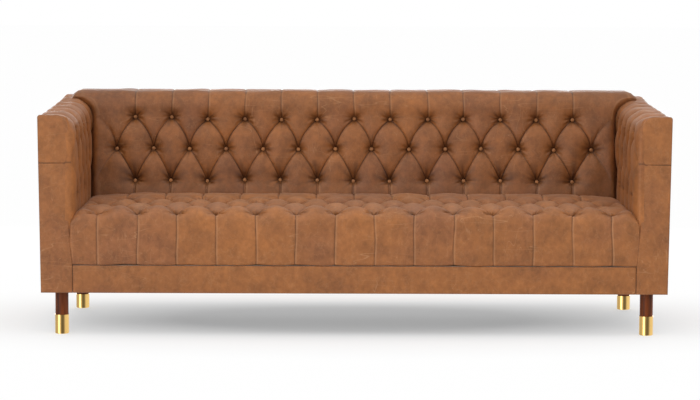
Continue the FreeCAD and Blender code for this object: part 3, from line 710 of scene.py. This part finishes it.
def armInnerX(z, crownHeight):
    # inner edge of the arm's rounded top, at a height
    if z <= armCrown.foot:
        return armLow.x
    rise = min(1.0, (z - armCrown.foot) / (crownHeight - armCrown.foot))
    return armLow.x + armCrown.width * (1 - math.sqrt(1 - rise * rise))


def placeBack(h, r, depth):
    firstLifted, lastLifted = back.liftRows
    t = along(back.rKnots, back.distances, r) + wobble(h, r, *back.rowWobble)
    t += (back.leftLift * clamp((-h - back.leftFrom) / back.leftRun)
          * clamp(r - firstLifted) * clamp(lastLifted - r))
    point, normal = pathAt(backPath, t)
    # the hide follows the arm's rounded top, and above and behind it covers part of the arm
    end = back.crownEnd
    if normal.x <= back.crownTurn and point.y <= armCrown.rear:
        end = min(end, armInnerX(point.y, armCrown.rear) + back.armLap)
    x = h * back.halfSpacing + wobble(h, r, *back.columnWobble)
    x = reachEnd(x, back, armLow.x - back.armGap, end)
    level = clamp((point.y - armCrown.rear) / back.crownRise)
    rounding = back.endRadius + level * (back.crownEndRadius - back.endRadius)
    point = point - normal * (depth + roundOff(end - abs(x), rounding))
    return Vector((x, point.x, point.y))


def closeBack(bm):
    frontEdges = openEdges(bm, lambda co: co.z < back.rimLow and co.y < back.splitY)
    rearEdges = openEdges(bm, lambda co: co.z < back.rimRear and co.y > back.splitY)
    frontEdges = extrudeChain(bm, frontEdges, lambda co: Vector((co.x, co.y + back.liner, co.z)))
    underY = backFaceY(back.rearFoot) + back.liner
    rearEdges = extrudeChain(bm, rearEdges, lambda co: Vector((co.x, underY, back.rearFoot)))
    closeBetween(bm, frontEdges, rearEdges)


print("inside back")
backPiece = tuftedPad("inside_back_leather", back, placeBack, closeBack, backLeather)
standFor(backPiece, "back_leather", "back_pad")
backButtonPiece = tuftButtons("back_button_leather", back, placeBack, buttonLeather)
standFor(backButtonPiece, "button_leather", "back_buttons")


# Seat
seat = Spec(
    rows=4, parity=1, firstColumn=-13, lastColumn=13, halfSpacing=0.0715,
    rowPlaces=(-0.4455, -0.300, -0.155, -0.010), rowGap=0.145, pleatGap=0.127,
    underY=-0.446, bottom=0.2575, frontY=-0.4595, rise=0.001, rearTop=(0.168, 0.464),
    rearFoot=(0.140, 0.30), linerY=0.132, rimLow=0.31, splitY=-0.15, radii=(0.009, 0.047, 0.040),
    buttonRadius=0.004, buttonDepth=0.044, pleatDepth=0.024, pullReach=0.026,
    puff=0.60, openPuff=0.22, upperSeam=0.008, lowerSeam=0.0030, seamEase=0.30,
    endFade=0.8, foldAt=0.028, foldWidth=0.017, foldDepth=0.0050,
    unevenness=0.004, creaseWidth=0.0020, pleatShade=0.70, seamShade=0.85, twinSeam=0.0,
    seamRub=0.55, smudge=0.55, smudgeReach=0.030, ragged=0.9, rowSmudge=(0.9, 1.0, 1.0, 1.0),
    gain=lambda h, r: 0.0,
    fan=(), bows=(0.2, 0.2, 0.2), seed=11,
    cuts=11, refineReach=0.010, refineBelow=3.2, refineAbove=0.6, frontSeam=0.0,
    shoulder=0.050, frontBulge=0.005, sideBow=0.0116, bowHeight=0.29, lip=0.010,
    endDrop=0.010, dropFrom=0.84, dropRun=0.10, cornerDrop=0.034, cornerRun=0.062,
    wobbleFrom=-0.5, rowWobble=(2.0, 0.006), columnWobble=(4.0, 0.005),
)
seatPath = roundedPath(
    [(seat.underY, seat.bottom), (seat.frontY, seat.bottom),
     (seat.frontY, seatHigh.z + seat.rise), seat.rearTop, seat.rearFoot], seat.radii)
spreadRows(seat, seatPath, axis=0, below=3, above=4)
spreadColumns(seat, seatHigh.x)


def placeSeat(h, r, depth):
    t = along(seat.rKnots, seat.distances, r)
    if r > seat.wobbleFrom:
        t += wobble(h, r, *seat.rowWobble)
    point, normal = pathAt(seatPath, t)
    front, top = max(0.0, -normal.x), max(0.0, normal.y)
    bow = math.sin(math.pi * clamp((point.y - seatLow.z) / seat.bowHeight))
    x = h * seat.halfSpacing + wobble(h, r, *seat.columnWobble)
    x = reachEnd(x, seat, seatHigh.x, seatHigh.x + seat.sideBow * bow)
    inward = seatHigh.x + seat.sideBow - abs(x)
    fall = depth + roundOff(inward, seat.shoulder) * top
    fall += roundOff(inward, seat.lip) * front
    fall -= seat.frontBulge * front * bow
    fall += seat.endDrop * top * clamp((abs(x) - seat.dropFrom) / seat.dropRun)
    point = point - normal * fall
    corner = roundOff(inward, seat.cornerRun) / seat.cornerRun
    height = clamp((point.y - seatLow.z) / (seatHigh.z - seatLow.z))
    return Vector((x, point.x, point.y - seat.cornerDrop * corner * height))


def closeSeat(bm):
    frontEdges = openEdges(bm, lambda co: co.z < seat.rimLow and co.y < seat.splitY)
    rearEdges = openEdges(bm, lambda co: co.z < seat.rimLow and co.y > seat.splitY)
    rearEdges = extrudeChain(bm, rearEdges, lambda co: Vector((co.x, seat.linerY, seat.bottom)))
    closeBetween(bm, frontEdges, rearEdges)


print("seat")
seatPiece = tuftedPad("seat_leather_pad", seat, placeSeat, closeSeat, seatLeather)
standFor(seatPiece, "seat_leather", "seat_pad")


# Inside arms, each with its own hide and folds
arm = Spec(
    uprightTufts,
    parity=1, firstColumn=1, lastColumn=9, halfSpacing=0.070, columns=13, seed=23,
    frontY=-0.434, startY=-0.4538, backGap=0.0005,
    foot=0.36, footOut=0.004, straightFrom=0.48, outerTop=0.7985, outerEdge=0.7705,
    edgeIn=0.0006, radii=(0.3, 0.072, 0.016), liner=0.0695, rimLow=0.40, rimOuter=0.778,
    buttonDepth=0.034, pleatDepth=0.015, foldDepth=0.0032, openPuff=0.50, upperSeam=0.0105,
    lowerSeam=0.009, seamEase=0.6, seamShade=0.80, seamRub=0.30, frontSeam=0.6,
    smudge=0.88, smudgeReach=0.026, rowSmudge=(1.2, 1.0, 0.95), refineAbove=3.2, fan=(),
    # painted light on the front of the arm, where the hide rolls over
    gain=lambda h, r: 0.12 * clamp(-h / 0.25) * clamp(3.6 - r),
    frontRadius=0.010, frontShare=0.7, frontEase=0.012,
    rollWidth=0.030, rollFront=-0.4606, rollBack=-0.396, rollLap=0.014, rollTurn=0.88,
    rollLift=0.0012, rollTop=3.2, rollFade=1.2, rollLow=0.37, rollRise=0.05,
    keepFrom=1.120, keepRun=0.023, keepRow=4, edgeRow=5.5,
    rowWobble=(7.0, 0.004), columnWobble=(3.0, 0.005), wobbleRun=0.03,
    shown=lambda column, row: column < 9 or row == 2,
)
armPath = roundedPath(
    [(armLow.x + arm.footOut, arm.foot), (armLow.x, arm.straightFrom), (armLow.x, armCrown.front),
     (armHigh.x, arm.outerTop), (armHigh.x - arm.edgeIn, arm.outerEdge)], arm.radii)
armEndY = armHigh.y - arm.backGap
spreadRows(arm, armPath, axis=1, below=2, above=4)
arm["hKnots"] = ([(arm.startY - arm.frontY) / arm.halfSpacing] + list(range(arm.columns))
                 + [(armEndY - arm.frontY) / arm.halfSpacing])


def armCrownAt(y):
    # rises gently to the rear, and a little more where it meets the back
    share = (y - arm.startY) / (armHigh.y - arm.startY)
    last = clamp((y - armCrown.liftFrom) / (armHigh.y - armCrown.liftEnd - armCrown.liftFrom))
    steady = armCrown.rear - armCrown.lift - armCrown.front
    return armCrown.front + steady * share + armCrown.lift * last * last * (3 - 2 * last)


def placeArm(h, r, depth, side):
    rowSeed, rowAmount = arm.rowWobble
    columnSeed, columnAmount = arm.columnWobble
    t = along(arm.rKnots, arm.distances, r) + wobble(h, r, rowSeed * side, rowAmount)
    point, normal = pathAt(armPath, min(t, pathLength(armPath)))
    y = arm.frontY + h * arm.halfSpacing
    y += wobble(h, r, columnSeed * side, columnAmount) * clamp((y - arm.frontY) / arm.wobbleRun)
    y = max(arm.startY, min(armEndY, y))
    inward = y - arm.startY
    roll = clamp((arm.rollTop - r) / arm.rollFade) * clamp((point.y - arm.rollLow) / arm.rollRise)
    past = max(0.0, (arm.rollBack - y) / (arm.rollBack - arm.startY))
    fall = depth * clamp(inward / arm.frontEase) * (1 - past * roll) ** 2
    fall += roundOff(inward, arm.frontRadius) * arm.frontShare * (1 - roll)
    fall += roundOff(armHigh.y - y, arm.rearRadius)
    if past > 0 and roll > 0:
        # the hide turns over the arm's front edge and laps onto the facing
        lap = max(0.0, (past - arm.rollTurn) / (1 - arm.rollTurn))
        angle = min(1.0, past / arm.rollTurn) * math.pi / 2
        fall += roll * (arm.rollWidth * (1 - math.cos(angle)) + arm.rollLap * lap)
        around = arm.rollBack + (arm.rollFront - arm.rollBack) * math.sin(angle)
        y += roll * (around + arm.rollLift * lap * lap - y)
    point = point - normal * fall
    x, z = point.x, point.y
    foot = armCrown.foot
    if z > foot:
        stretch = (armCrownAt(y) - foot) / (armCrown.front - foot)
        keep = clamp((x - arm.keepFrom) / arm.keepRun) if r > arm.keepRow else 0.0
        z = foot + (z - foot) * (stretch * (1 - keep) + keep)
        if r > arm.edgeRow:
            z = max(arm.outerEdge, z)
    return Vector((side * x, y, z))


for sideName, side in (("left", -1), ("right", 1)):
    print(sideName, "arm")
    spec = Spec(arm, seed=arm.seed + side)

    def placeHere(h, r, depth, side=side):
        return placeArm(h, r, depth, side)

    def closeHere(bm, side=side):
        linerX = side * (armLow.x + arm.liner)
        innerEdges = openEdges(bm, lambda co: co.z < arm.rimLow)
        outerEdges = openEdges(bm, lambda co: abs(co.x) > arm.keepFrom and co.z < arm.rimOuter)
        innerEdges = extrudeChain(bm, innerEdges, lambda co: Vector((linerX, co.y, co.z)))
        outerEdges = extrudeChain(bm, outerEdges, lambda co: Vector((linerX, co.y, arm.outerEdge)))
        closeBetween(bm, innerEdges, outerEdges)

    armPiece = tuftedPad(sideName + "_inside_arm_leather", spec, placeHere, closeHere, armLeather)
    standFor(armPiece, "arm_leather", sideName + "_arm_pad")
    armButtonPiece = tuftButtons(sideName + "_arm_button_leather", spec, placeHere, buttonLeather)
    standFor(armButtonPiece, "button_leather", sideName + "_arm_buttons")


# Flat panels: a drawn outline given thickness, with its front rim rounded over the padding
panel = Spec(rim=0.0048, rimSteps=5, arcSteps=10, longestStep=0.06, shortestRun=1e-5,
             seamShade=0.7, hem=0.156, lean=0.009, leanTop=0.800)


def outlinePanel(name, corners, toWorld, thickness, material, patch, radii=None, softFrom=None):
    # the outline starts and ends at its first corner, which stays sharp
    points = []
    for run in roundedPath(corners + corners[:1], radii or [0] * (len(corners) - 1)):
        length, bend = run[0], run[3]
        if length > panel.shortestRun:
            steps = panel.arcSteps if bend else max(1, int(length / panel.longestStep))
            points += [pathAt([run], length * step / steps)[0] for step in range(steps)]
    bm = bmesh.new()
    ring = [bmesh.ops.create_vert(bm, co=(p.x, p.y, -thickness))["vert"][0] for p in points]
    face = bmesh.ops.contextual_create(bm, geom=ring)["faces"][0]
    raised = bmesh.ops.extrude_face_region(bm, geom=[face])["geom"]
    raised = [item for item in raised if isinstance(item, bmesh.types.BMVert)]
    bmesh.ops.translate(bm, vec=(0, 0, thickness), verts=raised)
    rim = [e for e in bm.edges if all(v.co.z > -1e-6 for v in e.verts)]
    bmesh.ops.bevel(bm, geom=rim, offset=panel.rim, offset_type="OFFSET", affect="EDGES",
                    segments=panel.rimSteps, profile=0.5, material=-1, clamp_overlap=True)
    layers = {key: bm.verts.layers.float.new(key) for key in hideLayers}
    for vertex in bm.verts:
        # painted shade darkens each panel's rounded rim, except where the inner edges are soft
        soft = softFrom and vertex.co.x < softFrom[0] and vertex.co.y > softFrom[1]
        vertex[layers["patch"]] = patch
        vertex[layers["paintedShade"]] = 0.0 if soft else panel.seamShade * clamp(-vertex.co.z / panel.rim)
        vertex.co = toWorld(*vertex.co)
    return finishObject(name, bm, material)


def outerX(z):
    # the arm's outside leans in towards the floor
    top = panel.leanTop
    return cadHigh.x - panel.lean * (top - min(z, top)) / (top - panel.hem)


def upright(low, high, bottom, top):
    # an upright rectangle, from its lower corner at the low side
    return [(low, bottom), (low, top), (high, top), (high, bottom)]


facing = Spec(front=-0.4600, thickness=0.0059, top=0.8005, seam=0.627, seamHalf=0.0004,
              rollInner=1.034, bowInner=1.031, bowTop=0.40, lowInner=1.019, lowTop=0.26,
              topRadius=0.042, cornerRadius=0.010, bowRadius=0.4, footRadius=0.3,
              upperSoft=(1.045, 0.40), lowerSoft=(1.045, 0.42), patches=(0.55, 0.45))
facingPly = Spec(behind=0.006, thickness=0.0089, inset=0.006, low=0.158, top=0.795, outerAt=0.79,
                 inner=1.036, stepTop=0.46, stepLow=0.43, lowInner=1.021,
                 radii=(0.016, 0.030, 0.01, 0.01, 0), patch=0.5)
outsideArm = Spec(front=-0.4538, rear=0.4548, top=0.770, thickness=0.0049, patch=0.35)


def onFront(side, behind=0.0):
    return lambda u, v, w: Vector((side * u, facing.front + behind - w, v))


for sideName, side in (("left", -1), ("right", 1)):
    print(sideName, "facings")
    hem, inner, ply = panel.hem, facing.rollInner, facingPly
    seamLow, seamHigh = facing.seam - facing.seamHalf, facing.seam + facing.seamHalf

    def toSide(u, v, w, side=side):
        return Vector((side * (outerX(v) + w), u, v))

    upper = outlinePanel(
        sideName + "_upper_facing_leather",
        [(outerX(seamHigh), seamHigh), (outerX(facing.top), facing.top), (inner, facing.top),
         (inner, seamHigh)],
        onFront(side), facing.thickness, panelLeather, facing.patches[0],
        radii=[facing.cornerRadius, facing.topRadius, 0], softFrom=facing.upperSoft)
    standFor(upper, "panel_leather", sideName + "_upper_facing")
    lower = outlinePanel(
        sideName + "_lower_facing_leather",
        [(outerX(hem), hem), (outerX(seamLow), seamLow), (inner, seamLow), (facing.bowInner, facing.bowTop),
         (facing.lowInner, facing.lowTop), (facing.lowInner, hem)],
        onFront(side), facing.thickness, panelLeather, facing.patches[1],
        radii=[0, 0, facing.bowRadius, facing.footRadius, 0], softFrom=facing.lowerSoft)
    standFor(lower, "panel_leather", sideName + "_lower_facing")
    board = outlinePanel(
        sideName + "_facing_ply",
        [(outerX(ply.low) - ply.inset, ply.low), (outerX(ply.outerAt) - ply.inset, ply.top),
         (ply.inner, ply.top), (ply.inner, ply.stepTop), (ply.lowInner, ply.stepLow),
         (ply.lowInner, ply.low)],
        onFront(side, ply.behind), ply.thickness, framePly, ply.patch, radii=ply.radii)
    standFor(board, "frame_ply", sideName + "_facing_board")
    outside = outlinePanel(
        sideName + "_outside_arm_leather", upright(outsideArm.front, outsideArm.rear, hem, outsideArm.top),
        toSide, outsideArm.thickness, panelLeather, outsideArm.patch)
    standFor(outside, "panel_leather", sideName + "_outside_arm_panel")


def joined(name, pieces):
    # several meshes as one piece
    bm = bmesh.new()
    for piece in pieces:
        bm.from_mesh(piece.data)
    material = pieces[0].data.materials[0]
    for piece in pieces:
        bpy.data.objects.remove(piece)
    return finishObject(name, bm, material)


rail = Spec(reach=1.0186, top=0.2568, behind=0.001, patch=0.6)
railCover = outlinePanel(
    "front_rail_leather", upright(-rail.reach, rail.reach, panel.hem, rail.top),
    onFront(1, rail.behind), facing.thickness, panelLeather, rail.patch)
standFor(railCover, "panel_leather", "front_rail_cover")

rearPanel = Spec(edges=(-9, -0.39, 0.39, 9), top=0.790, gap=0.0004, thickness=0.0049,
                 patches=(0.4, 0.55, 0.3))


def toRear(u, v, w):
    return Vector((u, cadHigh.y + w, v))


def rearLimits(left, right, z):
    # a strip's sides at a height: its seams, or the sofa's leaning outside
    return max(left + rearPanel.gap, -outerX(z)), min(right - rearPanel.gap, outerX(z))


strips = []
for left, right, patch in zip(rearPanel.edges, rearPanel.edges[1:], rearPanel.patches):
    lowLeft, lowRight = rearLimits(left, right, panel.hem)
    topLeft, topRight = rearLimits(left, right, rearPanel.top)
    strips.append(outlinePanel(
        "rear_strip", [(lowLeft, panel.hem), (topLeft, rearPanel.top), (topRight, rearPanel.top),
                       (lowRight, panel.hem)],
        toRear, rearPanel.thickness, panelLeather, patch))
rearCover = joined("outside_back_leather", strips)
standFor(rearCover, "panel_leather", "outside_back_panel")
print("panels made")


# CAD pieces that keep their shape take their finish from here
finishes = {
    walnut: ("leg",), brass: ("ferrule",), hessian: ("seat_deck",), dustCloth: ("dust_cover",),
    wadding: ("front_rail_padding",), wire: ("seat_springs",),
    steel: ("spring_clips", "block_screws", "plate_screws", "leg_plates", "hanger_bolts"),
    framePly: ("arm_board", "facing_board", "back_board", "back_ribs"),
}
sharpAngle = math.radians(35)
for nodeName, node in nodes.items():
    chosen = frameTimber
    for material, endings in finishes.items():
        if nodeName.endswith(endings):
            chosen = material
    node.data.materials.clear()
    node.data.materials.append(chosen)
    if chosen in (walnut, brass):
        for face in node.data.polygons:
            face.use_smooth = True
        node.data.set_sharp_from_angle(angle=sharpAngle)


# Floor, light and camera
studioLight = Spec(
    floor=Spec(grey=0.92, roughness=0.9, size=30, stretch=(0.80, 1.7, 1.0), reach=10.0,
               fade=((0.052, 0.28), (0.170, 0.98))),
    surround=0.62,
    # brightness of the room by bearing in degrees
    room=((-180, 0.8), (-100, 0.55), (-62, 0.75), (-54, 3.0), (-34, 3.0), (-26, 0.7),
             (2, 0.16), (34, 0.22), (60, 0.9), (120, 1.0), (180, 0.8)),
    # name, place, aim, size and power
    lamps=(
        ("overhead", (0.0, -0.9, 3.2), (0, -0.2, 0.0), (6.0, 3.2), 46),
        ("front", (-1.6, -5.2, 2.6), (0, 0, 0.4), (3.6, 2.4), 48),
        ("front_right", (2.4, -4.6, 2.2), (0, 0, 0.4), (2.4, 2.0), 18),
        ("behind", (0.0, 3.0, 0.80), (0, 0.4, 0.1), (5.0, 0.8), 80),
    ),
)


def layFloor():
    # a matt floor that fades to white away from the sofa and leaves polished metal to the room
    look = studioLight.floor
    floor = paint("floor_paint")
    floor.fill(floor.shader, {
        "Base Color": (look.grey, look.grey, look.grey, 1), "Roughness": look.roughness,
        "Specular IOR Level": 0.0})
    away = floor.fill(floor.add("VectorMath", operation="LENGTH"), {0: floor.place(look.stretch)})
    fade = floor.ramp(floor.math("DIVIDE", away.outputs["Value"], look.reach), look.fade)
    seen = floor.add("LightPath").outputs
    white = floor.add("Emission", Strength=1.0).outputs["Emission"]
    clear = floor.add("BsdfTransparent").outputs["BSDF"]
    distant = floor.math("MULTIPLY", fade, seen["Is Camera Ray"])
    faded = floor.mixShader(floor.shader.outputs["BSDF"], white, distant)
    passed = floor.mixShader(faded, clear, seen["Is Glossy Ray"])
    floor.link(passed, floor.tree.nodes["Material Output"].inputs["Surface"])
    bm = bmesh.new()
    bmesh.ops.create_grid(bm, x_segments=1, y_segments=1, size=look.size)
    ground = finishObject("studio_floor", bm, floor.owner, smooth=False)


def lightRoom():
    # the camera sees white, polished metal sees softboxes and darker gaps, and the rest an even light
    world = bpy.data.worlds.new("studio_world")
    bpy.context.scene.world = world
    room = Nodes(world)
    seen = room.add("LightPath").outputs
    generated = room.add("TexCoord").outputs["Generated"]
    direction = room.fill(room.add("SeparateXYZ"), {"Vector": generated}).outputs
    bearing = room.math("ARCTAN2", direction["X"], room.math("MULTIPLY", direction["Y"], -1.0))
    turn = room.fill(room.add("MapRange"), {"Value": bearing, "From Min": -math.pi, "From Max": math.pi})
    stops = [((degrees + 180) / 360, level) for degrees, level in studioLight.room]
    boxes = room.ramp(turn.outputs["Result"], stops)
    shiny = room.mixValue(studioLight.surround, boxes, seen["Is Glossy Ray"])
    shown = room.mixValue(shiny, 1.0, seen["Is Camera Ray"])
    room.fill(room.tree.nodes["Background"], {"Strength": shown, "Color": (1, 1, 1, 1)})


def hangLamps():
    for name, place, aim, size, power in studioLight.lamps:
        data = bpy.data.lights.new(name, "AREA")
        data.shape = "RECTANGLE"
        data.size, data.size_y = size
        data.energy = power
        lamp = bpy.data.objects.new(name, data)
        lamp.location = place
        lamp.rotation_euler = (Vector(aim) - Vector(place)).to_track_quat("-Z", "Y").to_euler()
        bpy.context.scene.collection.objects.link(lamp)


# Lengths in metres, lens in millimetres and turns in degrees
view = Spec(height=1.487, distance=9.88, x=-0.0585, lens=141.7, sensor=36.0, clipEnd=100,
            pitch=5.72, yaw=-0.2386, roll=0.226)


def placeCamera():
    data = bpy.data.cameras.new("photo_view")
    data.lens = view.lens
    data.sensor_width = view.sensor
    data.clip_end = view.clipEnd
    seen = bpy.data.objects.new("photo_view", data)
    turn = (Matrix.Rotation(math.radians(view.yaw), 4, "Z")
            @ Matrix.Rotation(math.radians(90 - view.pitch), 4, "X")
            @ Matrix.Rotation(math.radians(view.roll), 4, "Z"))
    seen.matrix_world = Matrix.Translation((view.x, cadLow.y - view.distance, view.height)) @ turn
    bpy.context.scene.collection.objects.link(seen)
    bpy.context.scene.camera = seen


layFloor()
lightRoom()
hangLamps()
placeCamera()
bpy.context.scene.view_settings.view_transform = "Standard"
print("studio ready")
